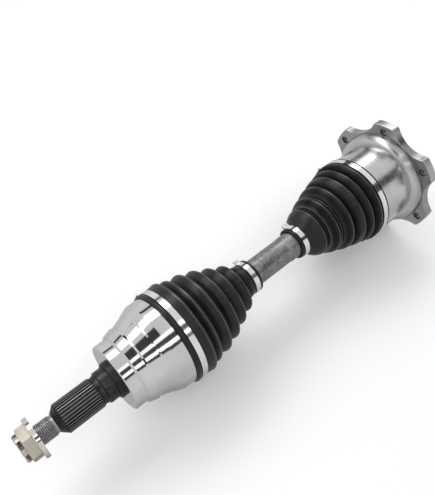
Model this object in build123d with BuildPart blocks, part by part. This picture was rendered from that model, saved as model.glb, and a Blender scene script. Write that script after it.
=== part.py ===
from build123d import *
from math import cos, radians, sin
import os

os.makedirs("parts", exist_ok=True)

# Drive axle turned about the X axis. x = 0 is the flange's mounting face and -X runs to the wheel.
# Lengths along the axle are stations, counted from the outer housing's front face to the flange.
FACE_X = -473.0
FLANGE_BACK = 473.0

# Stub, bell and ball joint at the wheel end.
THREAD_R = 12.0
THREAD_ROOT_R = 10.8
THREAD_PITCH = 2.0
THREAD_START = -115.6
THREAD_TURNS = 19
SPLINE_TIP_R = 18.0
SPLINE_ROOT_R = 16.4
SPLINE_TEETH = 33
JOURNAL_R = 19.2
THREAD_CREST_SHARES = (0.4, 0.6)
STUB_TIP = [(-116.4, 0), (-116.4, 10.2), (THREAD_START, THREAD_ROOT_R)]
SPLINE_START = -74.4
SPLINE_END = -19.3
SPLINE_CONE_R = 11.7
SPLINE_CONE_END = -67.4
STUB_NECK = [(-77.2, 10.6), (-75, 10.6), (SPLINE_START, SPLINE_CONE_R)]
SPLINE_RUNOUT = [(-25, SPLINE_TIP_R), (SPLINE_END, 15.5)]
STUB_JOURNAL = [(-21, SPLINE_ROOT_R), (SPLINE_END, 17.3), (-17.6, 17.3), (-16.7, JOURNAL_R), (0, JOURNAL_R)]
BELL_FRONT = [(0, 40), (1, 41), (13.8, 41), (16.1, 43.7), (26.6, 46.8), (29.3, 45.8), (43.6, 51)]
BELL_BACK = [(45.4, 52.2), (55, 56.1), (56.5, 56.5), (69.6, 56.5), (70.2, 55.9)]
BELL_SEAT_R = 54.6
BELL_SEAT = [(70.2, BELL_SEAT_R), (87.5, BELL_SEAT_R), (88.5, BELL_SEAT_R - 1)]
COTTER_HOLE_R = 2.0
COTTER_STATION = -113.8
BALL_CENTRE = 60.0
BALL_PITCH_R = 34.0
BALL_R = 9.5
BALL_COUNT = 6
TRACK_R = 10.5
RACE_R = 29.4
RACE_HALF_WIDTH = 12.0
CAGE_INNER_R = 29.48
CAGE_OUTER_R = 38.4
CAGE_HALF_WIDTH = 15.0
CAGE_WINDOW_X = 19.1
CAGE_WINDOW_START_R = 17.7
CAGE_WINDOW_WIDTH = 24.0
BELL_SPHERE_R = 38.48
MOUTH_THROAT = (12.0, 30.0)
MOUTH_RIM = (28.5, 46.5)

# Nut, washer and collar on the stub.
NUT_ACROSS_FLATS = 36.0
NUT_BORE_R = 12.05
NUT_BASE = -100.3
NUT_HEX_END = -111.5
NUT_SLOT_FLOOR = -111.6
NUT_CROWN_END = -116.6
NUT_CROWN_R = 16.0
NUT_CORNER_R = 20.4
NUT_CHAMFER = 1.6
NUT_FACE_R = 17.6
NUT_SLOT_WIDTH = 9.5
NUT_CORNER_ANGLE = 44.4
COTTER_ANGLE = NUT_CORNER_ANGLE + 60
EDGE_BREAK = 1.0
WASHER_R = 24.0
WASHER_BORE_R = 12.4
WASHER_THICK = 5.2
COLLAR_R = 22.4
COLLAR_THICK = 5.2
FIT_GAP = 0.02

# Shaft between the joints.
SHAFT_SPLINE_TIP_R = 13.3
SHAFT_SPLINE_ROOT_R = 12.4
SHAFT_SPLINE_TEETH = 26
SHAFT_SPLINE_GAP = 0.05
TOOTH_TIP_SHARE = 0.15
TOOTH_ROOT_SHARE = 0.32
NECK_R = 14.0
NECK_RUNOUT = 4.0
BAR_R = 16.8
INNER_SEAT_R = 17.5
SHAFT_START = 43.6
SHAFT_END = 443.4
BAR_PROFILE = [(72, NECK_R), (140, NECK_R), (160, BAR_R), (226, BAR_R), (226.6, 16.3), (228.4, 16.3)]
SEAT_PROFILE = [(229, BAR_R), (262, BAR_R), (266, INNER_SEAT_R), (298, INNER_SEAT_R), (312, NECK_R)]
CIRCLIP_THICK = 1.8
CIRCLIP_GROOVE_R = 12.1
CIRCLIP_R = 15.4
CIRCLIP_MOUTH = 8.0

# Tripod joint and flanged housing.
TRIPOD_CENTRE = 427.0
TRIPOD_PITCH_R = 32.0
ARM_ANGLES = (0, 120, 240)
ROLLER_R = 16.5
ROLLER_HALF_WIDTH = 6.0
ROLLER_BORE_R = 12.04
NEEDLE_R = 1.25
NEEDLE_CIRCLE_R = 10.77
NEEDLE_COUNT = 24
NEEDLE_LENGTH = 11.0
TRUNNION_R = 9.5
TRUNNION_END = 41.5
TRUNNION_SHOULDER_R = 12.4
TRUNNION_SHOULDER_END = 25.7
SPIDER_HUB_R = 21.5
SPIDER_HALF_WIDTH = 13.0
WASHER_BAND = (38.2, 39.2)
RING_BAND = (39.3, 40.3)
RING_GROOVE_R = 8.9
RETAINER_R = 11.6
SLOT_HALF_WIDTH = 17.4
CAVITY_R = 44.0
CENTRE_BORE_R = 28.0
MOUTH_CHAMFER_R = 35.0
MOUTH_CHAMFER_DEPTH = 8.0
HOUSING_MOUTH = 390.0
HOUSING_SEAT_END = 403.4
HOUSING_STEP_END = 404.2
HOUSING_R = 55.5
HOUSING_SEAT_R = 54.0
FLANGE_FRONT = 461.0
FLARE_R = 12.0
LOBE_R = 83.8
SCALLOP_CENTRE_R = 110.0
SCALLOP_R = 41.0
LOBE_CORNER_R = 5.0
LOBE_CHAMFER = 0.8
BOLT_COUNT = 6
BOLT_CIRCLE_R = 73.7
BOLT_HOLE_R = 5.25
BOLT_PHASE = 18.5
CAP_SEAT_R = 45.5
CAP_FLOOR = 464.0
PILOT_FLOOR = 468.0
PILOT_R = 46.5
CAP_FACE = 467.5
CAP_RIM = 3.0
CAP_DISH = 1.4
CAP_CENTRE = [(466.1, 12), (466.9, 9), (466.9, 0)]

# Rubber bellows. Each fold climbs over a rounded shoulder to its crest and then drops into a groove.
BOOT_WALL = 2.4
CLEAR = 0.3
OUTER_LIP = [(70.8, 58), (72.6, 59.3), (75.6, 59.3), (76.2, 57.9), (84.4, 57.9)]
OUTER_FOLDS = [(86.5, 58.6), (91, 59.4), (96.3, 59.9), (99.8, 53.5), (104.5, 55.4), (108, 55.9)]
OUTER_FOLDS += [(111.8, 48.2), (118.5, 51.8), (124.8, 53.4), (129, 43.2), (136.2, 46.3), (142.8, 47.6)]
OUTER_FOLDS += [(147, 37.4), (154, 38.3), (160.3, 39.5), (164.4, 30), (171.4, 31.1), (177.5, 31.9)]
OUTER_FOLDS += [(181.8, 21.4), (186, 22), (191, 21.3)]
OUTER_CUFF = [(194.6, 20.2), (203.4, 20.2), (204, 21.7), (207, 21.7)]
OUTER_SHOULDERS = (86.4, 191.2)
INNER_LIP = [(279, 21.2), (281.6, 21.2), (282.1, 20.5), (290.4, 20.5)]
INNER_FOLDS = [(291.5, 21), (294.2, 23.4), (298, 27.6), (303, 31.2), (309, 33.3), (312.4, 30.4)]
INNER_FOLDS += [(315.6, 35.4), (320.5, 38.2), (327.3, 40.6), (330.8, 37.8), (334.2, 43), (339, 45.2)]
INNER_FOLDS += [(345.8, 46.9), (349.2, 44.2), (352.4, 48.6), (357, 50.4), (363.3, 51.7), (366.6, 49)]
INNER_FOLDS += [(369.4, 52.8), (372.5, 54), (376.7, 54.9), (379.6, 52.4), (382, 56.6), (384.8, 57.8)]
INNER_FOLDS += [(389.5, 58.2)]
INNER_CUFF = [(392, 57.2), (401.2, 57.2), (401.7, 58.4), (403, 58.4)]
INNER_SHOULDERS = (291.4, 389.6)

# Crimped band clamps: (first station, last station, inner radius, outer radius, ear angle).
OUTER_LARGE_BAND = (76.8, 84.0, 58.0, 59.2, 15)
OUTER_SMALL_BAND = (196.2, 202.9, 20.5, 21.6, 32)
INNER_SMALL_BAND = (282.6, 290.0, 20.8, 21.9, 32)
INNER_LARGE_BAND = (392.8, 400.4, 57.3, 58.5, 15)
EAR_HALF_WIDTH = 5.5
EAR_TOP_HALF_WIDTH = 3.3
EAR_HEIGHT = 4.2
EAR_THICK = 1.2
EAR_SIDE_GAP = 0.7


def x_at(station):
    """Row x of a station."""
    return FACE_X + station


def turned(points, mode=Mode.ADD):
    """A solid of revolution about the axle, from closed (station, radius) points."""
    with BuildSketch(Plane.XZ) as profile:
        with BuildLine():
            Polyline(*[(x_at(s), r) for s, r in points], close=True)
        make_face()
    revolve(profile.sketch, axis=Axis.X, mode=mode)


def toothed(tip_r, root_r, teeth):
    """A straight-flanked spline outline in the current sketch."""
    outline = []
    for tooth in range(teeth):
        for side in (-1, 1):
            corners = [(TOOTH_ROOT_SHARE, root_r), (TOOTH_TIP_SHARE, tip_r)]
            for share, radius in corners[::-side]:
                angle = radians((tooth + side * share) * 360 / teeth)
                outline.append((radius * cos(angle), radius * sin(angle)))
    with BuildLine() as edge:
        Polyline(*outline, close=True)
    make_face(edge.edges())


def splined(first, last, tip_r, root_r, teeth, mode=Mode.ADD):
    """A spline prism between two stations."""
    with BuildSketch(Plane.YZ.offset(x_at(first))) as section:
        toothed(tip_r, root_r, teeth)
    extrude(section.sketch, amount=last - first, mode=mode)


def spoke(angle, station):
    """A plane across one radial direction: its z runs outwards and its x along the axle."""
    outward = (0, cos(radians(angle)), sin(radians(angle)))
    return Plane(origin=(x_at(station), 0, 0), x_dir=(1, 0, 0), z_dir=outward)


def meridian(angle, station):
    """A plane holding the axle and one radial direction, which is its y."""
    across = (0, -sin(radians(angle)), cos(radians(angle)))
    return Plane(origin=(x_at(station), 0, 0), x_dir=(1, 0, 0), z_dir=across)


def radial_rod(angle, station, radius, first, last, mode=Mode.ADD):
    """A cylinder along one radial direction, between two distances from the axle."""
    with BuildSketch(spoke(angle, station).offset(first)) as section:
        Circle(radius)
    extrude(section.sketch, amount=last - first, mode=mode)


def radial_ring(angle, station, outer_r, inner_r, first, last):
    """A flat ring round a radial arm, between two distances from the axle."""
    with BuildSketch(spoke(angle, station).offset(first)) as section:
        Circle(outer_r)
        Circle(inner_r, mode=Mode.SUBTRACT)
    extrude(section.sketch, amount=last - first)


def ball_tracks():
    """Cuts the ball grooves, each an arc about the ball joint's centre."""
    for track in range(BALL_COUNT // 2):
        with Locations(meridian(track * 360 / BALL_COUNT, BALL_CENTRE).location):
            Torus(BALL_PITCH_R, TRACK_R, mode=Mode.SUBTRACT)


def circlip(station, inner_r, outer_r):
    """An open snap ring on the axle, starting at a station."""
    with BuildSketch(Plane.YZ.offset(x_at(station))) as section:
        Circle(outer_r)
        Circle(inner_r, mode=Mode.SUBTRACT)
        with Locations((0, outer_r)):
            Rectangle(CIRCLIP_MOUTH, outer_r, mode=Mode.SUBTRACT)
    extrude(section.sketch, amount=CIRCLIP_THICK)


def band_clamp(first, last, inner_r, outer_r, ear_angle):
    """A band with one crimped ear."""
    turned([(first, inner_r), (first, outer_r), (last, outer_r), (last, inner_r)])
    foot = (outer_r**2 - EAR_HALF_WIDTH**2) ** 0.5 - EAR_THICK / 2
    top = outer_r + EAR_HEIGHT
    hollow = EAR_HALF_WIDTH - EAR_THICK
    hollow_top = EAR_TOP_HALF_WIDTH - EAR_THICK / 2
    outward = (0, cos(radians(ear_angle)), sin(radians(ear_angle)))
    start = Plane(origin=(x_at(first + EAR_SIDE_GAP), 0, 0), x_dir=outward, z_dir=(1, 0, 0))
    with BuildSketch(start) as ear:
        with BuildLine():
            Polyline(
                (foot, -EAR_HALF_WIDTH),
                (top, -EAR_TOP_HALF_WIDTH),
                (top, EAR_TOP_HALF_WIDTH),
                (foot, EAR_HALF_WIDTH),
                close=True,
            )
        make_face()
        with BuildLine():
            Polyline(
                (outer_r, -hollow),
                (top - EAR_THICK, -hollow_top),
                (top - EAR_THICK, hollow_top),
                (outer_r, hollow),
                close=True,
            )
        make_face(mode=Mode.SUBTRACT)
    extrude(ear.sketch, amount=last - first - 2 * EAR_SIDE_GAP)


def bellows(head, folds, tail, head_r, tail_r, shoulders):
    """A rubber boot: two straight cuffs and a wavy wall of even thickness between them."""
    outside = [(x_at(s), r) for s, r in folds]
    inside = [(x, r - BOOT_WALL) for x, r in reversed(outside)]
    start = [(x_at(s), r) for s, r in head]
    finish = [(x_at(s), r) for s, r in tail]
    head_end, tail_start = shoulders
    with BuildSketch(Plane.XZ) as wall:
        with BuildLine():
            Polyline((start[0][0], head_r), *start, outside[0])
            Spline(*outside)
            Polyline(outside[-1], *finish, (finish[-1][0], tail_r), (x_at(tail_start), tail_r), inside[0])
            Spline(*inside)
            Polyline(inside[-1], (x_at(head_end), head_r), (start[0][0], head_r))
        make_face()
    revolve(wall.sketch, axis=Axis.X)


def roller(angle):
    """One barrel-faced roller on its tripod arm."""
    low = TRIPOD_PITCH_R - ROLLER_HALF_WIDTH
    high = TRIPOD_PITCH_R + ROLLER_HALF_WIDTH
    with Locations(spoke(angle, TRIPOD_CENTRE).offset(TRIPOD_PITCH_R).location):
        Sphere(ROLLER_R)
    with BuildSketch(spoke(angle, TRIPOD_CENTRE).offset(low)) as section:
        Circle(ROLLER_R)
        Circle(ROLLER_BORE_R, mode=Mode.SUBTRACT)
    extrude(section.sketch, amount=high - low, mode=Mode.INTERSECT)


def needles(angle):
    """One roller's full set of needles."""
    first = TRIPOD_PITCH_R - NEEDLE_LENGTH / 2
    with BuildSketch(spoke(angle, TRIPOD_CENTRE).offset(first)) as section:
        with PolarLocations(NEEDLE_CIRCLE_R, NEEDLE_COUNT):
            Circle(NEEDLE_R)
    extrude(section.sketch, amount=NEEDLE_LENGTH)


# Wheel-end forging: threaded and splined stub with the bell, bored for the ball joint.
with BuildPart() as outer_housing:
    splined(SPLINE_START, SPLINE_END, SPLINE_TIP_R, SPLINE_ROOT_R, SPLINE_TEETH)
    cone = [(SPLINE_START, 0), (SPLINE_START, SPLINE_CONE_R), (SPLINE_CONE_END, SPLINE_TIP_R)]
    turned(cone + SPLINE_RUNOUT + [(SPLINE_END, 0)], mode=Mode.INTERSECT)
    root_share = (SPLINE_ROOT_R - SPLINE_CONE_R) / (SPLINE_TIP_R - SPLINE_CONE_R)
    root_start = SPLINE_START + root_share * (SPLINE_CONE_END - SPLINE_START)
    thread = []
    for turn in range(THREAD_TURNS):
        ridge = THREAD_START + turn * THREAD_PITCH
        for share in THREAD_CREST_SHARES:
            thread.append((ridge + THREAD_PITCH * share, THREAD_R))
        thread.append((ridge + THREAD_PITCH, THREAD_ROOT_R))
    stub = STUB_TIP + thread + STUB_NECK + [(root_start, SPLINE_ROOT_R)] + STUB_JOURNAL
    turned(stub + BELL_FRONT + BELL_BACK + BELL_SEAT + [(BELL_SEAT[-1][0], 0)])
    with Locations((x_at(BALL_CENTRE), 0, 0)):
        Sphere(BELL_SPHERE_R, mode=Mode.SUBTRACT)
    ball_tracks()
    throat = BALL_CENTRE + MOUTH_THROAT[0]
    rim = BALL_CENTRE + MOUTH_RIM[0]
    turned([(throat, 0), (throat, MOUTH_THROAT[1]), (rim, MOUTH_RIM[1]), (rim, 0)], mode=Mode.SUBTRACT)
    radial_rod(COTTER_ANGLE, COTTER_STATION, COTTER_HOLE_R, -2 * THREAD_R, 2 * THREAD_R, mode=Mode.SUBTRACT)
outer_housing.part.label = "outer_housing"
export_step(outer_housing.part, "parts/outer_housing.step")

with BuildPart() as axle_nut:
    with BuildSketch(Plane.YZ.offset(x_at(NUT_HEX_END))):
        RegularPolygon(NUT_ACROSS_FLATS / 2, 6, major_radius=False, rotation=NUT_CORNER_ANGLE)
    extrude(amount=NUT_BASE - NUT_HEX_END)
    barrel_r = NUT_CORNER_R + EDGE_BREAK
    corner = [(NUT_BASE, 0), (NUT_BASE, NUT_CORNER_R - EDGE_BREAK), (NUT_BASE - EDGE_BREAK, barrel_r)]
    corner += [(NUT_HEX_END + NUT_CHAMFER, barrel_r), (NUT_HEX_END, NUT_FACE_R), (NUT_HEX_END, 0)]
    turned(corner, mode=Mode.INTERSECT)
    crown = [(NUT_HEX_END, 0), (NUT_HEX_END, NUT_CROWN_R), (NUT_CROWN_END + EDGE_BREAK, NUT_CROWN_R)]
    turned(crown + [(NUT_CROWN_END, NUT_CROWN_R - EDGE_BREAK), (NUT_CROWN_END, 0)])
    bore = [(NUT_BASE, 0), (NUT_BASE, NUT_BORE_R), (NUT_CROWN_END, NUT_BORE_R), (NUT_CROWN_END, 0)]
    turned(bore, mode=Mode.SUBTRACT)
    with BuildSketch(Plane.YZ.offset(x_at(NUT_CROWN_END))):
        for slot in range(3):
            Rectangle(4 * NUT_CROWN_R, NUT_SLOT_WIDTH, rotation=COTTER_ANGLE + slot * 60)
    extrude(amount=NUT_SLOT_FLOOR - NUT_CROWN_END, mode=Mode.SUBTRACT)
axle_nut.part.label = "axle_nut"
export_step(axle_nut.part, "parts/axle_nut.step")

with BuildPart() as nut_washer:
    washer_end = NUT_BASE + WASHER_THICK
    washer_start = NUT_BASE + FIT_GAP
    washer = [(washer_start, WASHER_BORE_R), (washer_start, WASHER_R - EDGE_BREAK)]
    washer += [(washer_start + EDGE_BREAK, WASHER_R), (washer_end, WASHER_R), (washer_end, WASHER_BORE_R)]
    turned(washer)
nut_washer.part.label = "nut_washer"
export_step(nut_washer.part, "parts/nut_washer.step")

with BuildPart() as seal_collar:
    collar_bore = JOURNAL_R + FIT_GAP
    collar = [(-FIT_GAP, collar_bore), (-FIT_GAP, COLLAR_R), (EDGE_BREAK - COLLAR_THICK, COLLAR_R)]
    turned(collar + [(-COLLAR_THICK, COLLAR_R - EDGE_BREAK), (-COLLAR_THICK, collar_bore)])
seal_collar.part.label = "seal_collar"
export_step(seal_collar.part, "parts/seal_collar.step")

# Ball joint internals.
with BuildPart() as inner_race:
    with Locations((x_at(BALL_CENTRE), 0, 0)):
        Sphere(RACE_R)
    race_first = BALL_CENTRE - RACE_HALF_WIDTH
    race_last = BALL_CENTRE + RACE_HALF_WIDTH
    slab = [(race_first, 0), (race_first, RACE_R), (race_last, RACE_R), (race_last, 0)]
    turned(slab, mode=Mode.INTERSECT)
    ball_tracks()
    race_tip_r = SHAFT_SPLINE_TIP_R + SHAFT_SPLINE_GAP
    race_root_r = SHAFT_SPLINE_ROOT_R + SHAFT_SPLINE_GAP
    splined(race_first, race_last, race_tip_r, race_root_r, SHAFT_SPLINE_TEETH, mode=Mode.SUBTRACT)
inner_race.part.label = "inner_race"
export_step(inner_race.part, "parts/inner_race.step")

with BuildPart() as ball_cage:
    with BuildSketch(meridian(90, BALL_CENTRE)):
        Circle(CAGE_OUTER_R)
        Circle(CAGE_INNER_R, mode=Mode.SUBTRACT)
        with Locations((0, CAGE_OUTER_R / 2)):
            Rectangle(2 * CAGE_HALF_WIDTH, CAGE_OUTER_R, mode=Mode.INTERSECT)
    revolve(axis=Axis.X)
    for ball in range(BALL_COUNT):
        with BuildSketch(spoke(ball * 360 / BALL_COUNT, BALL_CENTRE).offset(CAGE_WINDOW_START_R)):
            Rectangle(CAGE_WINDOW_X, CAGE_WINDOW_WIDTH)
        extrude(amount=CAGE_OUTER_R, mode=Mode.SUBTRACT)
ball_cage.part.label = "ball_cage"
export_step(ball_cage.part, "parts/ball_cage.step")

with BuildPart() as bearing_balls:
    for ball in range(BALL_COUNT):
        with Locations(spoke(ball * 360 / BALL_COUNT, BALL_CENTRE).offset(BALL_PITCH_R).location):
            Sphere(BALL_R)
bearing_balls.part.label = "bearing_balls"
export_step(bearing_balls.part, "parts/bearing_balls.step")

with BuildPart() as race_circlip:
    clip_start = BALL_CENTRE - RACE_HALF_WIDTH - CIRCLIP_THICK - FIT_GAP
    circlip(clip_start, CIRCLIP_GROOVE_R + FIT_GAP, CIRCLIP_R)
race_circlip.part.label = "race_circlip"
export_step(race_circlip.part, "parts/race_circlip.step")

# Shaft, splined into the inner race at one end and into the tripod spider at the other.
with BuildPart() as axle_shaft:
    splined(SHAFT_START, SHAFT_END, SHAFT_SPLINE_TIP_R, SHAFT_SPLINE_ROOT_R, SHAFT_SPLINE_TEETH)
    spider_shoulder = TRIPOD_CENTRE - SPIDER_HALF_WIDTH - CIRCLIP_THICK - 2 * FIT_GAP
    neck_end = [(spider_shoulder - NECK_RUNOUT, NECK_R), (spider_shoulder - NECK_RUNOUT, 0)]
    turned([(BAR_PROFILE[0][0], 0)] + BAR_PROFILE + SEAT_PROFILE + neck_end)
    grooves = [clip_start]
    grooves += [TRIPOD_CENTRE - SPIDER_HALF_WIDTH - CIRCLIP_THICK - FIT_GAP]
    grooves += [TRIPOD_CENTRE + SPIDER_HALF_WIDTH + FIT_GAP]
    for groove in grooves:
        low = groove - FIT_GAP
        high = groove + CIRCLIP_THICK + FIT_GAP
        cut = [(low, CIRCLIP_GROOVE_R), (low, CIRCLIP_R), (high, CIRCLIP_R), (high, CIRCLIP_GROOVE_R)]
        turned(cut, mode=Mode.SUBTRACT)
axle_shaft.part.label = "axle_shaft"
export_step(axle_shaft.part, "parts/axle_shaft.step")

# Tripod joint internals.
with BuildPart() as tripod_spider:
    spider_first = TRIPOD_CENTRE - SPIDER_HALF_WIDTH
    spider_last = TRIPOD_CENTRE + SPIDER_HALF_WIDTH
    turned([(spider_first, 0), (spider_first, SPIDER_HUB_R), (spider_last, SPIDER_HUB_R), (spider_last, 0)])
    for arm in ARM_ANGLES:
        radial_rod(arm, TRIPOD_CENTRE, TRUNNION_SHOULDER_R, SHAFT_SPLINE_TIP_R, TRUNNION_SHOULDER_END)
        radial_rod(arm, TRIPOD_CENTRE, TRUNNION_R, SHAFT_SPLINE_TIP_R, TRUNNION_END)
    spider_tip_r = SHAFT_SPLINE_TIP_R + SHAFT_SPLINE_GAP
    spider_root_r = SHAFT_SPLINE_ROOT_R + SHAFT_SPLINE_GAP
    splined(spider_first, spider_last, spider_tip_r, spider_root_r, SHAFT_SPLINE_TEETH, mode=Mode.SUBTRACT)
    for arm in ARM_ANGLES:
        with BuildSketch(spoke(arm, TRIPOD_CENTRE).offset(RING_BAND[0] - FIT_GAP)):
            Circle(ROLLER_R)
            Circle(RING_GROOVE_R, mode=Mode.SUBTRACT)
        extrude(amount=RING_BAND[1] - RING_BAND[0] + 2 * FIT_GAP, mode=Mode.SUBTRACT)
tripod_spider.part.label = "tripod_spider"
export_step(tripod_spider.part, "parts/tripod_spider.step")

with BuildPart() as pivot_roller:
    roller(ARM_ANGLES[0])
pivot_roller.part.label = "pivot_roller"
export_step(pivot_roller.part, "parts/pivot_roller.step")

with BuildPart() as roller_2:
    roller(ARM_ANGLES[1])
roller_2.part.label = "roller_2"
export_step(roller_2.part, "parts/roller_2.step")

with BuildPart() as roller_3:
    roller(ARM_ANGLES[2])
roller_3.part.label = "roller_3"
export_step(roller_3.part, "parts/roller_3.step")

with BuildPart() as needle_set_1:
    needles(ARM_ANGLES[0])
needle_set_1.part.label = "needle_set_1"
export_step(needle_set_1.part, "parts/needle_set_1.step")

with BuildPart() as needle_set_2:
    needles(ARM_ANGLES[1])
needle_set_2.part.label = "needle_set_2"
export_step(needle_set_2.part, "parts/needle_set_2.step")

with BuildPart() as needle_set_3:
    needles(ARM_ANGLES[2])
needle_set_3.part.label = "needle_set_3"
export_step(needle_set_3.part, "parts/needle_set_3.step")

with BuildPart() as roller_washers:
    for arm in ARM_ANGLES:
        radial_ring(arm, TRIPOD_CENTRE, ROLLER_BORE_R, TRUNNION_R + FIT_GAP, *WASHER_BAND)
roller_washers.part.label = "roller_washers"
export_step(roller_washers.part, "parts/roller_washers.step")

with BuildPart() as roller_rings:
    for arm in ARM_ANGLES:
        radial_ring(arm, TRIPOD_CENTRE, RETAINER_R, RING_GROOVE_R + FIT_GAP, *RING_BAND)
roller_rings.part.label = "roller_rings"
export_step(roller_rings.part, "parts/roller_rings.step")

with BuildPart() as spider_circlips:
    circlip(grooves[1], CIRCLIP_GROOVE_R + FIT_GAP, CIRCLIP_R)
    circlip(grooves[2], CIRCLIP_GROOVE_R + FIT_GAP, CIRCLIP_R)
spider_circlips.part.label = "spider_circlips"
export_step(spider_circlips.part, "parts/spider_circlips.step")

# Flanged housing with three straight roller tracks.
with BuildPart() as inner_housing:
    with BuildSketch(Plane.YZ.offset(x_at(FLANGE_FRONT))):
        Circle(LOBE_R)
        with PolarLocations(SCALLOP_CENTRE_R, BOLT_COUNT, start_angle=BOLT_PHASE + 180 / BOLT_COUNT):
            Circle(SCALLOP_R, mode=Mode.SUBTRACT)
        fillet(vertices(), LOBE_CORNER_R)
    extrude(amount=FLANGE_BACK - FLANGE_FRONT)
    chamfer(edges().filter_by(GeomType.CIRCLE), LOBE_CHAMFER)
    flare_start = FLANGE_FRONT - FLARE_R
    flare_top = HOUSING_R + FLARE_R
    with BuildSketch(Plane.XZ):
        with BuildLine():
            Polyline(
                (x_at(FLANGE_FRONT + EDGE_BREAK), flare_top),
                (x_at(FLANGE_FRONT + EDGE_BREAK), 0),
                (x_at(HOUSING_MOUTH), 0),
                (x_at(HOUSING_MOUTH), HOUSING_SEAT_R - EDGE_BREAK),
                (x_at(HOUSING_MOUTH + EDGE_BREAK), HOUSING_SEAT_R),
                (x_at(HOUSING_SEAT_END), HOUSING_SEAT_R),
                (x_at(HOUSING_STEP_END), HOUSING_R),
                (x_at(flare_start), HOUSING_R),
            )
            RadiusArc((x_at(flare_start), HOUSING_R), (x_at(FLANGE_FRONT), flare_top), FLARE_R)
            Line((x_at(FLANGE_FRONT), flare_top), (x_at(FLANGE_FRONT + EDGE_BREAK), flare_top))
        make_face()
    revolve(axis=Axis.X)
    with BuildSketch(Plane.YZ.offset(x_at(FLANGE_FRONT))):
        with PolarLocations(BOLT_CIRCLE_R, BOLT_COUNT, start_angle=BOLT_PHASE):
            Circle(BOLT_HOLE_R)
    extrude(amount=FLANGE_BACK - FLANGE_FRONT, mode=Mode.SUBTRACT)
    with BuildSketch(Plane.YZ.offset(x_at(HOUSING_MOUTH))):
        Circle(CENTRE_BORE_R)
        with PolarLocations(CAVITY_R / 2, len(ARM_ANGLES), start_angle=ARM_ANGLES[0]):
            Rectangle(CAVITY_R, 2 * SLOT_HALF_WIDTH)
        Circle(CAVITY_R, mode=Mode.INTERSECT)
    extrude(amount=CAP_FLOOR - HOUSING_MOUTH, mode=Mode.SUBTRACT)
    cap_bore = [(CAP_FLOOR, 0), (CAP_FLOOR, CAP_SEAT_R), (PILOT_FLOOR, CAP_SEAT_R), (PILOT_FLOOR, PILOT_R)]
    turned(cap_bore + [(FLANGE_BACK, PILOT_R), (FLANGE_BACK, 0)], mode=Mode.SUBTRACT)
    chamfer_end = HOUSING_MOUTH + MOUTH_CHAMFER_DEPTH
    entry = [(HOUSING_MOUTH, 0), (HOUSING_MOUTH, MOUTH_CHAMFER_R), (chamfer_end, CENTRE_BORE_R)]
    turned(entry + [(chamfer_end, 0)], mode=Mode.SUBTRACT)
inner_housing.part.label = "inner_housing"
export_step(inner_housing.part, "parts/inner_housing.step")

with BuildPart() as housing_end_cap:
    cap_r = CAP_SEAT_R - FIT_GAP
    cap = [(CAP_FLOOR + FIT_GAP, 0), (CAP_FLOOR + FIT_GAP, cap_r), (CAP_FACE, cap_r)]
    cap += [(CAP_FACE, cap_r - CAP_RIM), (CAP_FACE - CAP_DISH, cap_r - CAP_RIM - CAP_DISH)]
    turned(cap + CAP_CENTRE)
housing_end_cap.part.label = "housing_end_cap"
export_step(housing_end_cap.part, "parts/housing_end_cap.step")

# Rubber boots and their clamps.
with BuildPart() as outer_boot:
    seat_r = BELL_SEAT_R + CLEAR
    bellows(OUTER_LIP, OUTER_FOLDS, OUTER_CUFF, seat_r, BAR_R + CLEAR, OUTER_SHOULDERS)
outer_boot.part.label = "outer_boot"
export_step(outer_boot.part, "parts/outer_boot.step")

with BuildPart() as inner_boot:
    neck_seat_r = INNER_SEAT_R + CLEAR
    bellows(INNER_LIP, INNER_FOLDS, INNER_CUFF, neck_seat_r, HOUSING_SEAT_R + CLEAR, INNER_SHOULDERS)
inner_boot.part.label = "inner_boot"
export_step(inner_boot.part, "parts/inner_boot.step")

with BuildPart() as outer_boot_clamp_large:
    band_clamp(*OUTER_LARGE_BAND)
outer_boot_clamp_large.part.label = "outer_boot_clamp_large"
export_step(outer_boot_clamp_large.part, "parts/outer_boot_clamp_large.step")

with BuildPart() as outer_boot_clamp_small:
    band_clamp(*OUTER_SMALL_BAND)
outer_boot_clamp_small.part.label = "outer_boot_clamp_small"
export_step(outer_boot_clamp_small.part, "parts/outer_boot_clamp_small.step")

with BuildPart() as inner_boot_clamp_small:
    band_clamp(*INNER_SMALL_BAND)
inner_boot_clamp_small.part.label = "inner_boot_clamp_small"
export_step(inner_boot_clamp_small.part, "parts/inner_boot_clamp_small.step")

with BuildPart() as inner_boot_clamp_large:
    band_clamp(*INNER_LARGE_BAND)
inner_boot_clamp_large.part.label = "inner_boot_clamp_large"
export_step(inner_boot_clamp_large.part, "parts/inner_boot_clamp_large.step")
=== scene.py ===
import bmesh
import bpy
from math import cos, exp, pi, radians, sin
from types import SimpleNamespace
from mathutils import Matrix, Vector


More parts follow.
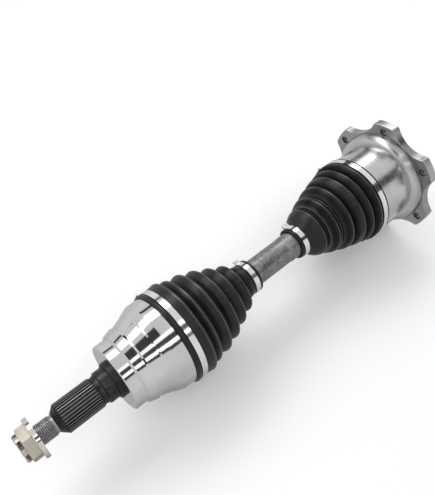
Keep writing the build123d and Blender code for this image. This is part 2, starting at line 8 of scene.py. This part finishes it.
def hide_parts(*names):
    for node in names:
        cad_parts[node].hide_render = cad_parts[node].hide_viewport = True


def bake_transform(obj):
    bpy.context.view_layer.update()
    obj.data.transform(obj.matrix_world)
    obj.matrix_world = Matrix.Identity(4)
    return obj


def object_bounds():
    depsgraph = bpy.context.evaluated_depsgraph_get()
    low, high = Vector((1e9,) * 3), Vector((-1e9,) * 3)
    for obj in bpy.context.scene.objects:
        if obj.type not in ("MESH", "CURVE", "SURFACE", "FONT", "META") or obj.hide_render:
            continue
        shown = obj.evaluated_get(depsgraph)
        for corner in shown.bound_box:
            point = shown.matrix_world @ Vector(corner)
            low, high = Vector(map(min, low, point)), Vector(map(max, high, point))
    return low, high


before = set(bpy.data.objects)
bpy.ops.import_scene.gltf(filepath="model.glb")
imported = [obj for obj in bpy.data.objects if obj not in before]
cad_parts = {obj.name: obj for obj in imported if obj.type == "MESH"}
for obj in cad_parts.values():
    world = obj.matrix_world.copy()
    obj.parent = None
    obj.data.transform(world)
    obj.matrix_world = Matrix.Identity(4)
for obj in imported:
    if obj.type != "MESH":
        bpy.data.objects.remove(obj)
cad_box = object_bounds()

# Lengths are in millimetres. A station is a distance along the axle from the front face of the bell.
MM = 0.001
FACE_X = -473.0 * MM


def x_at(station):
    return FACE_X + station * MM


# ---------------------------------------------------------------- shader helpers
def grey(value):
    return (value, value, value)


def new_material(name, color, metallic, roughness, **sockets):
    made = bpy.data.materials.new(name)
    made.use_nodes = True
    shader = made.node_tree.nodes["Principled BSDF"]
    shader.inputs["Base Color"].default_value = (*color, 1)
    shader.inputs["Metallic"].default_value = metallic
    shader.inputs["Roughness"].default_value = roughness
    for key, value in sockets.items():
        shader.inputs[key.replace("_", " ")].default_value = value
    return made, made.node_tree, shader


def node(tree, kind, **values):
    """A new node. A value named in_ sets an input by its name or number, and any other sets a property."""
    made = tree.nodes.new(kind)
    for key, value in values.items():
        if key.startswith("in_"):
            index = key[3:]
            made.inputs[int(index) if index.isdigit() else index].default_value = value
        else:
            setattr(made, key, value)
    return made


def calc(tree, operation, a, b=0.0):
    made = node(tree, "ShaderNodeMath", operation=operation)
    for index, value in enumerate((a, b)):
        if isinstance(value, (int, float)):
            made.inputs[index].default_value = value
        else:
            tree.links.new(value, made.inputs[index])
    return made.outputs[0]


def blend(tree, a, b, share):
    """A weighted sum, with the given share of b."""
    return calc(tree, "ADD", calc(tree, "MULTIPLY", a, 1 - share), calc(tree, "MULTIPLY", b, share))


def distance(tree, a, b):
    squares = calc(tree, "ADD", calc(tree, "MULTIPLY", a, a), calc(tree, "MULTIPLY", b, b))
    return calc(tree, "SQRT", squares)


def surface(tree):
    """Object coordinates in metres, and their distance from the axle."""
    source = node(tree, "ShaderNodeTexCoord").outputs["Object"]
    parts = node(tree, "ShaderNodeSeparateXYZ")
    tree.links.new(source, parts.inputs[0])
    x, y, z = parts.outputs
    return SimpleNamespace(vector=source, x=x, y=y, z=z, radius=distance(tree, y, z))


def noise(tree, vector, scale, detail=4.0, stretch=None, rough=0.5):
    made = node(tree, "ShaderNodeTexNoise", in_Scale=scale, in_Detail=detail, in_Roughness=rough)
    if stretch:
        mapping = node(tree, "ShaderNodeMapping", in_Scale=stretch)
        tree.links.new(vector, mapping.inputs["Vector"])
        vector = mapping.outputs[0]
    tree.links.new(vector, made.inputs["Vector"])
    return made.outputs["Fac"]


def lathe_lines(tree, place, scale):
    """Noise that is constant round the axle, like the marks of a lathe."""
    along = node(tree, "ShaderNodeCombineXYZ")
    tree.links.new(place.x, along.inputs[0])
    tree.links.new(place.radius, along.inputs[1])
    return noise(tree, along.outputs[0], scale, detail=3.0)


def ramp(tree, factor, stops):
    made = node(tree, "ShaderNodeValToRGB")
    elements = made.color_ramp.elements
    while len(elements) < len(stops):
        elements.new(0.5)
    for element, (place, color) in zip(elements, stops):
        element.position = place
        element.color = (*color, 1)
    tree.links.new(factor, made.inputs[0])
    return made.outputs["Color"]


def spread(tree, value, source, target):
    """Moves a value from one range to another."""
    made = node(tree, "ShaderNodeMapRange", in_1=source[0], in_2=source[1], in_3=target[0], in_4=target[1])
    tree.links.new(value, made.inputs[0])
    return made.outputs[0]


def mix(tree, factor, a, b):
    """A mix of two colours, each a tuple or a socket."""
    made = node(tree, "ShaderNodeMix", data_type="RGBA")
    tree.links.new(factor, made.inputs[0])
    for socket, value in ((made.inputs[6], a), (made.inputs[7], b)):
        if isinstance(value, tuple):
            socket.default_value = (*value, 1)
        else:
            tree.links.new(value, socket)
    return made.outputs[2]


def mix_numbers(tree, factor, a, b):
    made = node(tree, "ShaderNodeMix", data_type="FLOAT")
    for index, value in ((0, factor), (2, a), (3, b)):
        tree.links.new(value, made.inputs[index])
    return made.outputs[0]


def above(tree, value, edge, soft):
    """1 where value is over the edge, with a soft step."""
    made = node(tree, "ShaderNodeMapRange", in_1=edge - soft, in_2=edge + soft)
    made.interpolation_type = "SMOOTHSTEP"
    tree.links.new(value, made.inputs[0])
    return made.outputs[0]


def below(tree, value, edge, soft):
    return calc(tree, "SUBTRACT", 1.0, above(tree, value, edge, soft))


def between(tree, value, low, high, soft):
    return calc(tree, "MULTIPLY", above(tree, value, low, soft), below(tree, value, high, soft))


def bump(tree, shader, height, strength, depth):
    made = node(tree, "ShaderNodeBump", in_Strength=strength, in_Distance=depth * MM)
    tree.links.new(height, made.inputs["Height"])
    tree.links.new(made.outputs[0], shader.inputs["Normal"])


# ---------------------------------------------------------------- materials
CALM = (0.35, 0.65)
WIDE = (0.3, 0.7)
STUB_END = -0.05
THREAD_END = -74.6
RELIEF = (-77.4, -74.7)
# Stations and tip radius of the painted highlight on the spline.
SPLINE_HIGHLIGHT = (-69, -22)
SPLINE_HIGHLIGHT_R = 17.75
PLATE_R = 65.5
RIM_R = 83.0
BOLT_CIRCLE_R = 73.7
BOLT_ANGLE = 18.5
BOLT_STEP = 60
BOLT_SHADE_R = 5.45
SCRATCH = (220.6, 221.6)


def turned_metal(name, dark, light, rough, line_scale=900.0):
    """Lathe-turned metal: fine rings about the axle, soft stains and a roughness that follows them."""
    made, tree, shader = new_material(name, light, 1.0, rough[1])
    place = surface(tree)
    lines = lathe_lines(tree, place, line_scale)
    stains = noise(tree, place.vector, 22.0, detail=5.0)
    tree.links.new(ramp(tree, stains, [(0.3, dark), (0.62, light)]), shader.inputs["Base Color"])
    uneven = blend(tree, lines, stains, 0.4)
    tree.links.new(spread(tree, uneven, CALM, rough), shader.inputs["Roughness"])
    bump(tree, shader, lines, 0.25, 0.02)
    return made


def forging_material():
    """Polished bell, a dark phosphated stub with a painted highlight on the spline tips, and a bare steel
    thread.
    """
    made, tree, shader = new_material("bell_and_stub", grey(0.6), 1.0, 0.2)
    place = surface(tree)
    lines = lathe_lines(tree, place, 1300.0)
    stains = noise(tree, place.vector, 26.0, detail=5.0)
    grain = noise(tree, place.vector, 900.0, detail=3.0)
    bell = ramp(tree, stains, [(0.3, grey(0.60)), (0.65, grey(0.70))])
    dark = ramp(tree, noise(tree, place.vector, 160.0), [(0.3, grey(0.032)), (0.7, grey(0.065))])
    thread = ramp(tree, noise(tree, place.vector, 240.0), [(0.3, grey(0.30)), (0.7, grey(0.46))])
    # Painted highlight: the spline tips are mixed towards a lighter grey.
    tips = above(tree, place.radius, SPLINE_HIGHLIGHT_R * MM, 0.12 * MM)
    on_spline = between(tree, place.x, x_at(SPLINE_HIGHLIGHT[0]), x_at(SPLINE_HIGHLIGHT[1]), 1 * MM)
    tip_highlight = calc(tree, "MULTIPLY", calc(tree, "MULTIPLY", tips, on_spline), 0.75)
    on_stub = below(tree, place.x, x_at(STUB_END), 0.02 * MM)
    on_thread = below(tree, place.x, x_at(THREAD_END), 0.15 * MM)
    on_relief = between(tree, place.x, x_at(RELIEF[0]), x_at(RELIEF[1]), 0.2 * MM)
    stub = mix(tree, tip_highlight, dark, (0.24, 0.24, 0.245))
    stub = mix(tree, on_thread, stub, thread)
    stub = mix(tree, on_relief, stub, grey(0.33))
    tree.links.new(mix(tree, on_stub, bell, stub), shader.inputs["Base Color"])
    polish = spread(tree, lines, CALM, (0.07, 0.11))
    matt = spread(tree, grain, WIDE, (0.28, 0.46))
    tree.links.new(mix_numbers(tree, on_stub, polish, matt), shader.inputs["Roughness"])
    bump(tree, shader, mix_numbers(tree, on_stub, lines, grain), 0.22, 0.02)
    return made


def bolt_hole_shade_mask(tree, place):
    """1 inside the flange's bolt holes, where painted shade goes."""
    angle = calc(tree, "SUBTRACT", calc(tree, "ARCTAN2", place.z, place.y), radians(BOLT_ANGLE))
    apart = calc(tree, "PINGPONG", angle, radians(BOLT_STEP / 2))
    across = calc(tree, "MULTIPLY", place.radius, calc(tree, "SINE", apart))
    reach = calc(tree, "MULTIPLY", place.radius, calc(tree, "COSINE", apart))
    outward = calc(tree, "SUBTRACT", reach, BOLT_CIRCLE_R * MM)
    return below(tree, distance(tree, across, outward), BOLT_SHADE_R * MM, 0.1 * MM)


def housing_material():
    """Turned barrel and flare with a duller, darker flange, a painted highlight on its outer edge and painted
    shade in its bolt holes.
    """
    made, tree, shader = new_material("machined_housing", grey(0.5), 1.0, 0.25)
    place = surface(tree)
    lines = lathe_lines(tree, place, 700.0)
    stains = noise(tree, place.vector, 20.0, detail=5.0)
    barrel = ramp(tree, stains, [(0.3, grey(0.50)), (0.62, grey(0.63))])
    plate = ramp(tree, stains, [(0.3, grey(0.30)), (0.62, (0.41, 0.41, 0.405))])
    # Painted highlight along the flange's outer edge.
    rim_highlight = calc(tree, "MULTIPLY", above(tree, place.radius, RIM_R * MM, 0.5 * MM), 0.5)
    plate = mix(tree, rim_highlight, plate, grey(0.55))
    # Painted shade: the bolt-hole bores are darkened.
    plate = mix(tree, bolt_hole_shade_mask(tree, place), plate, grey(0.14))
    on_plate = above(tree, place.radius, PLATE_R * MM, 2.5 * MM)
    tree.links.new(mix(tree, on_plate, barrel, plate), shader.inputs["Base Color"])
    smooth = spread(tree, lines, CALM, (0.20, 0.28))
    dull = spread(tree, stains, WIDE, (0.28, 0.38))
    tree.links.new(mix_numbers(tree, on_plate, smooth, dull), shader.inputs["Roughness"])
    bump(tree, shader, lines, 0.2, 0.02)
    return made


def plated_material(name, dark, light, rough, depth=0.03):
    """Plated steel with a fine orange-peel and slightly uneven tone."""
    made, tree, shader = new_material(name, light, 1.0, rough[1])
    place = surface(tree)
    tone = noise(tree, place.vector, 70.0, detail=5.0)
    tree.links.new(ramp(tree, tone, [(0.3, dark), (0.65, light)]), shader.inputs["Base Color"])
    tree.links.new(spread(tree, tone, WIDE, rough), shader.inputs["Roughness"])
    bump(tree, shader, noise(tree, place.vector, 1100.0, detail=3.0), 0.3, depth)
    return made


def shaft_material():
    """Drawn bar: mottled scale, faint lines along its length and one dark scratch round it."""
    made, tree, shader = new_material("drawn_shaft", (0.30, 0.305, 0.31), 1.0, 0.34)
    place = surface(tree)
    streaks = noise(tree, place.vector, 420.0, stretch=(0.05, 1, 1))
    tone = noise(tree, place.vector, 30.0, stretch=(0.6, 1, 1))
    mottle = noise(tree, place.vector, 170.0, detail=6.0, rough=0.65)
    uneven = blend(tree, blend(tree, streaks, tone, 0.6), mottle, 0.5)
    color = ramp(tree, uneven, [(0.38, grey(0.13)), (0.62, grey(0.34))])
    scratch = between(tree, place.x, x_at(SCRATCH[0]), x_at(SCRATCH[1]), 0.2 * MM)
    color = mix(tree, calc(tree, "MULTIPLY", scratch, 0.7), color, grey(0.05))
    tree.links.new(color, shader.inputs["Base Color"])
    tree.links.new(spread(tree, streaks, WIDE, (0.34, 0.50)), shader.inputs["Roughness"])
    bump(tree, shader, streaks, 0.2, 0.02)
    return made


def rubber_material():
    """Moulded black rubber: fine grain and a slight bloom, with a painted highlight on its crests and painted
    shade in its grooves, set through the specular level.
    """
    made, tree, shader = new_material("boot_rubber", grey(0.008), 0.0, 0.34, Specular_IOR_Level=0.30)
    place = surface(tree)
    bloom = noise(tree, place.vector, 45.0, detail=5.0)
    crest_highlight_groove_shade = node(tree, "ShaderNodeAttribute", attribute_name="crest_highlight_groove_shade").outputs["Fac"]
    color = ramp(tree, bloom, [(0.35, grey(0.005)), (0.7, (0.011, 0.011, 0.012))])
    tree.links.new(color, shader.inputs["Base Color"])
    # Painted highlight on the crests and painted shade in the grooves, through the specular level.
    tree.links.new(spread(tree, crest_highlight_groove_shade, (0.0, 1.0), (0.06, 1.0)), shader.inputs["Specular IOR Level"])
    tree.links.new(spread(tree, bloom, WIDE, (0.27, 0.42)), shader.inputs["Roughness"])
    bump(tree, shader, noise(tree, place.vector, 700.0), 0.25, 0.04)
    return made


bell_steel = forging_material()
housing_steel = housing_material()
shaft_steel = shaft_material()
rubber = rubber_material()
race_steel = turned_metal("machined_race", grey(0.36), (0.47, 0.47, 0.465), (0.20, 0.30))
band_steel = turned_metal("polished_band", (0.72, 0.73, 0.74), (0.84, 0.85, 0.86), (0.10, 0.18), 1600.0)
cap_steel = turned_metal("pressed_cap", (0.42, 0.40, 0.34), (0.56, 0.54, 0.47), (0.26, 0.38))
bearing_steel = turned_metal("ground_bearing", (0.62, 0.63, 0.64), (0.76, 0.77, 0.78), (0.08, 0.16))
phosphate = plated_material("phosphate", grey(0.030), grey(0.060), (0.36, 0.5))
nickel_nut = plated_material("satin_nickel", (0.50, 0.455, 0.395), (0.60, 0.55, 0.48), (0.34, 0.46))
nickel_washer = plated_material("bright_nickel", (0.62, 0.59, 0.55), (0.78, 0.75, 0.71), (0.07, 0.14), 0.01)
spring_steel = plated_material("blued_spring", grey(0.05), grey(0.10), (0.3, 0.4))

looks = (
    (bell_steel, ("outer_housing",)),
    (phosphate, ("seal_collar",)),
    (nickel_nut, ("axle_nut",)),
    (nickel_washer, ("nut_washer",)),
    (shaft_steel, ("axle_shaft",)),
    (housing_steel, ("inner_housing",)),
    (cap_steel, ("housing_end_cap",)),
    (race_steel, ("ball_cage", "tripod_spider")),
    (bearing_steel, ("inner_race", "bearing_balls", "pivot_roller", "roller_2", "roller_3")),
    (bearing_steel, ("needle_set_1", "needle_set_2", "needle_set_3")),
    (spring_steel, ("roller_washers", "roller_rings", "race_circlip", "spider_circlips")),
    (rubber, ("outer_boot", "inner_boot")),
    (band_steel, ("outer_boot_clamp_large", "outer_boot_clamp_small")),
    (band_steel, ("inner_boot_clamp_large", "inner_boot_clamp_small")),
)
for look, names in looks:
    for name in names:
        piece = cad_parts[name]
        for entry in piece.material_slots:
            entry.material = look
        if not piece.material_slots:
            piece.data.materials.append(look)


# ---------------------------------------------------------------- rubber boots
BOOT_WALL = 2.2
SEGMENTS = 192
OUTER_CRESTS = (95.0, 106.9, 124.0, 142.6, 160.4, 177.8)
INNER_CRESTS = (308.8, 315.4, 327.0, 333.0, 345.4, 362.8, 376.2, 388.8)
CREST_WIDTH = 1.3
GROOVE_OFFSET = 5.5
GROOVE_WIDTH = 4.5
PLAIN_GLOSS = 0.3


def curve(points, steps=6):
    """A smooth centripetal curve through the points."""
    ends = [2 * Vector(points[0]) - Vector(points[1])] + [Vector(p) for p in points]
    ends.append(2 * Vector(points[-1]) - Vector(points[-2]))
    result = []
    for p0, p1, p2, p3 in zip(ends, ends[1:], ends[2:], ends[3:]):
        t1 = (p1 - p0).length ** 0.5
        t2 = t1 + (p2 - p1).length ** 0.5
        t3 = t2 + (p3 - p2).length ** 0.5
        for step in range(steps):
            t = t1 + (t2 - t1) * step / steps
            a1 = p0 * ((t1 - t) / t1) + p1 * (t / t1)
            a2 = p1 * ((t2 - t) / (t2 - t1)) + p2 * ((t - t1) / (t2 - t1))
            a3 = p2 * ((t3 - t) / (t3 - t2)) + p3 * ((t - t2) / (t3 - t2))
            b1 = a1 * ((t2 - t) / t2) + a2 * (t / t2)
            b2 = a2 * ((t3 - t) / (t3 - t1)) + a3 * ((t - t1) / (t3 - t1))
            point = b1 * ((t2 - t) / (t2 - t1)) + b2 * ((t - t1) / (t2 - t1))
            result.append((point.x, point.y))
    result.append(tuple(points[-1]))
    return result


def rounded(points, radius, steps=4):
    """A polyline with its inner corners rounded, each over less than half of the sides that meet there."""
    result = [points[0]]
    for before, corner, after in zip(points, points[1:], points[2:]):
        a, b, c = Vector(before), Vector(corner), Vector(after)
        cut = min(radius, (a - b).length * 0.45, (c - b).length * 0.45)
        start, end = b + (a - b).normalized() * cut, b + (c - b).normalized() * cut
        for step in range(steps + 1):
            t = step / steps
            point = start * (1 - t) ** 2 + b * 2 * t * (1 - t) + end * t**2
            result.append((point.x, point.y))
    result.append(points[-1])
    return result


def lining(outside, seats, least):
    """The inner line of a boot: straight on each seat (from, to, radius), and one wall inside elsewhere."""
    inside = []
    for station, radius in outside:
        seated = [seat_r for start, end, seat_r in seats if start < station < end]
        inside.append((station, seated[0] if seated else max(radius - BOOT_WALL, least)))
    return inside


def painted_boot_light(station):
    """Painted boot light: 1 for a painted highlight on a moulded crest, 0 for painted shade in the groove
    after it, and in between elsewhere.
    """
    behind = [station - crest for crest in OUTER_CRESTS + INNER_CRESTS]
    peak = max(exp(-((gap / CREST_WIDTH) ** 2)) for gap in behind)
    shade = max(exp(-(((gap - GROOVE_OFFSET) / GROOVE_WIDTH) ** 2)) for gap in behind)
    return max(peak, PLAIN_GLOSS * (1 - shade))


def revolved(name, outer, inner):
    """A closed shell turned about the axle from its outer and inner (station, radius) lines."""
    ring = outer + list(reversed(inner))
    mesh = bpy.data.meshes.new(name)
    made = bmesh.new()
    rows = []
    for segment in range(SEGMENTS):
        angle = 2 * pi * segment / SEGMENTS
        rows.append([made.verts.new((x_at(s), r * MM * cos(angle), r * MM * sin(angle))) for s, r in ring])
    for here, there in zip(rows, rows[1:] + rows[:1]):
        for k in range(len(ring)):
            m = (k + 1) % len(ring)
            made.faces.new((here[k], here[m], there[m], there[k]))
    bmesh.ops.recalc_face_normals(made, faces=made.faces)
    made.to_mesh(mesh)
    made.free()
    for face in mesh.polygons:
        face.use_smooth = True
    # Painted crest highlight and groove shade for each point of the outer line.
    crest_highlight_groove_shade = [painted_boot_light(station) for station, radius in outer] + [PLAIN_GLOSS] * len(inner)
    mesh.attributes.new("crest_highlight_groove_shade", "FLOAT", "POINT").data.foreach_set("value", crest_highlight_groove_shade * SEGMENTS)
    piece = bpy.data.objects.new(name, mesh)
    bpy.context.scene.collection.objects.link(piece)
    mesh.materials.append(rubber)
    return piece


BELL_CUFF = (0, 88.5, 55.0)
OUTER_NECK = (193, 300, 17.15)
INNER_NECK = (270, 291, 17.85)
HOUSING_CUFF = (389.6, 410, 54.35)

outer_head = rounded([
    (70.6, 57.2), (70.9, 58.2), (72.5, 59.4), (75.7, 59.4), (76.5, 57.7), (84.6, 57.7),
], 0.6)
outer_folds = curve([
    (84.9, 58.5), (88, 59.0), (92.5, 59.6), (95.6, 60.1), (97.1, 59.4), (98.4, 56.5), (99.8, 53.2),
    (101.4, 53.6), (104, 55.3), (106.6, 56.1), (108.2, 56.0), (109.4, 54.8), (110.6, 50.6), (112, 47.8),
    (114.2, 48.6), (118, 51.4), (121.8, 53.2), (124.4, 53.6), (126, 52.8), (127.3, 48.4), (129, 42.6),
    (131.4, 42.9), (135.4, 45.8), (139.2, 47.4), (142, 47.8), (143.8, 47.0), (145.2, 42.4), (147, 36.8),
    (149.6, 36.6), (153.6, 38.0), (157, 39.4), (159.8, 39.8), (161.6, 38.9), (162.9, 34.8), (164.6, 29.6),
    (167, 29.2), (171, 30.6), (174.6, 31.8), (177.2, 32.0), (178.9, 31.0), (180.2, 26.6), (182, 21.6),
    (184.2, 21.4), (187, 22.0), (190.5, 21.8), (193.4, 20.9),
])
outer_tail = rounded([
    (193.4, 20.9), (195.6, 20.3), (196.2, 20.1), (203, 20.1), (203.8, 21.6), (206.4, 21.6), (207, 20.8),
], 0.6)
outer_side = outer_head[:-1] + outer_folds + outer_tail[1:]
outer_boot = revolved("outer_boot_bellows", outer_side, lining(outer_side, (BELL_CUFF, OUTER_NECK), 17.15))
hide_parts("outer_boot")
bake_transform(outer_boot)

inner_head = rounded([
    (279, 20.4), (279.4, 21.2), (281.4, 21.2), (282.2, 20.5), (290.2, 20.5), (291, 21.2),
], 0.5)
inner_folds = curve([
    (291, 21.2), (292.6, 22.2), (295, 24.6), (298.4, 28.2), (302, 31.0), (305.6, 32.9), (308.2, 33.7),
    (309.8, 33.4), (310.8, 31.8), (311.6, 29.2), (312.6, 29.6), (313.4, 31.4), (314.0, 31.0), (314.6, 30.6),
    (315.6, 34.4), (317.6, 36.9), (321, 39.0), (324.6, 40.6), (327.0, 41.1), (328.4, 40.4), (329.3, 38.0),
    (330.2, 36.4), (331.2, 37.0), (332.0, 38.6), (332.6, 38.2), (333.2, 38.4), (334.2, 41.8), (336.4, 44.0),
    (340, 46.0), (343.6, 47.3), (345.8, 47.5), (347.0, 46.8), (348.0, 44.4), (349.2, 42.8), (350.6, 44.8),
    (352.4, 48.0), (355.4, 50.2), (359.4, 51.6), (362.4, 52.3), (364.0, 51.9), (365.0, 49.8), (366.2, 47.6),
])
neck_side = inner_head[:-1] + inner_folds
neck_boot = revolved("inner_boot_bellows", neck_side, lining(neck_side, (INNER_NECK,), 17.85))
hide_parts("inner_boot")
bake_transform(neck_boot)

collar_folds = curve([
    (366.2, 47.6), (367.6, 49.6), (369.2, 52.2), (371.6, 54.0), (374.6, 55.2), (376.4, 55.3), (377.6, 54.6),
    (378.6, 52.2), (379.8, 51.0), (381.2, 54.2), (383, 57.2), (385.8, 58.5), (388.6, 58.8), (390.4, 58.2),
    (391.4, 57.3),
])
collar_tail = rounded([
    (391.4, 57.3), (392.2, 57.0), (401, 57.0), (401.6, 58.4), (402.8, 58.4), (403.2, 57.4),
], 0.5)
collar_side = collar_folds + collar_tail[1:]
collar_boot = revolved("inner_boot_cuff", collar_side, lining(collar_side, (HOUSING_CUFF,), 0.0))
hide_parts("inner_boot")
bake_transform(collar_boot)


# ---------------------------------------------------------------- stage, in metres
FLOOR_SIZE = (9, 9)
FLOOR_CENTRE = (-0.25, 0, cad_box[0][2] - 0.0005)
CARD_DISTANCE = 1.1
# Each span is a name, two angles from +Y towards +Z, and two places along X.
CARD_SPANS = (
    ("dark_card_1", 76, 102, -2.2, -0.70),
    ("dark_card_2", 112, 123, -2.2, 0.20),
    ("dark_card_3", 133, 141, -2.2, 0.20),
    ("dark_card_4", 119, 144, 0.20, 2.2),
    ("dark_card_5", 24, 32, -0.70, 0.20),
    ("dark_card_6", 16, 34, 0.20, 2.2),
)
# Each softbox is a name, two angles, a distance, two places along X, and a radiance.
SOFTBOXES = (
    ("key_softbox", 42, 64, 1.25, -1.9, 1.3, 2.6),
    ("line_softbox_1", 103, 110, 1.2, -2.0, 0.20, 1.5),
    ("line_softbox_2", 125, 132, 1.2, -2.0, 0.20, 1.7),
)
SKY_STRENGTH = 0.80


def stage_plane(name, size, matrix, color):
    mesh = bpy.data.meshes.new(name)
    half_x, half_y = size[0] / 2, size[1] / 2
    corners = [(-half_x, -half_y, 0), (half_x, -half_y, 0), (half_x, half_y, 0), (-half_x, half_y, 0)]
    mesh.from_pydata(corners, [], [(0, 1, 2, 3)])
    made = bpy.data.objects.new(name, mesh)
    made.matrix_world = matrix
    bpy.context.scene.collection.objects.link(made)
    look = new_material(name, color, 0.0, 1.0, Specular_IOR_Level=0.0)[0]
    mesh.materials.append(look)
    return made


def panel(low, high, reach, x_low, x_high):
    """Size and place of a panel parallel to the axle, between two angles from +Y towards +Z."""
    middle = radians((low + high) / 2)
    width = 2 * reach * sin(radians(high - low) / 2)
    outward = Vector((0, cos(middle), sin(middle)))
    x_axis = Vector((1, 0, 0))
    matrix = Matrix((x_axis, outward.cross(x_axis), outward)).transposed().to_4x4()
    matrix.translation = outward * reach + Vector(((x_low + x_high) / 2, 0, 0))
    return (x_high - x_low, width), matrix


def dark_card(name, low, high, x_low, x_high):
    """A dark card that only reflections see."""
    size, matrix = panel(low, high, CARD_DISTANCE, x_low, x_high)
    made = stage_plane(name, size, matrix, grey(0.06))
    made.visible_camera = False
    made.visible_shadow = False
    made.visible_diffuse = False
    made.visible_transmission = False
    made.visible_volume_scatter = False


def softbox(name, low, high, reach, x_low, x_high, radiance):
    (length, width), matrix = panel(low, high, reach, x_low, x_high)
    data = bpy.data.lights.new(name, "AREA")
    data.shape = "RECTANGLE"
    data.size = length
    data.size_y = width
    data.energy = radiance * pi * length * width
    made = bpy.data.objects.new(name, data)
    made.matrix_world = matrix
    bpy.context.scene.collection.objects.link(made)


floor = stage_plane("floor", FLOOR_SIZE, Matrix.Translation(FLOOR_CENTRE), grey(0.87))
floor.visible_glossy = False
for span in CARD_SPANS:
    dark_card(*span)
for box in SOFTBOXES:
    softbox(*box)

# The sky is plain white above and shades to grey below, where reflections see it in place of the floor.
world = bpy.data.worlds.new("studio")
world.use_nodes = True
sky = world.node_tree
direction = node(sky, "ShaderNodeTexCoord")
height = node(sky, "ShaderNodeSeparateXYZ")
sky.links.new(direction.outputs["Generated"], height.inputs[0])
upward = spread(sky, height.outputs["Z"], (-1.0, 1.0), (0.0, 1.0))
shade = ramp(sky, upward, [(0.0, grey(0.45)), (0.1, grey(0.74)), (0.35, grey(0.88)), (0.5, grey(1.0))])
background = sky.nodes["Background"]
sky.links.new(shade, background.inputs["Color"])
background.inputs["Strength"].default_value = SKY_STRENGTH
bpy.context.scene.world = world
bpy.context.scene.view_settings.view_transform = "Standard"

# ---------------------------------------------------------------- camera
CAMERA_PLACE = Vector((-577.9, -284.3, 586.2)) * MM
CAMERA_FORWARD = Vector((0.415, 0.461, -0.785)).normalized()
CAMERA_LENS = 42.44
SENSOR_WIDTH = 36
camera_data = bpy.data.cameras.new("camera")
camera_data.lens = CAMERA_LENS
camera_data.sensor_width = SENSOR_WIDTH
camera_data.clip_start = 0.01
camera = bpy.data.objects.new("camera", camera_data)
camera.location = CAMERA_PLACE
camera.rotation_euler = CAMERA_FORWARD.to_track_quat("-Z", "Y").to_euler()
bpy.context.scene.collection.objects.link(camera)
bpy.context.scene.camera = camera

bpy.context.view_layer.update()
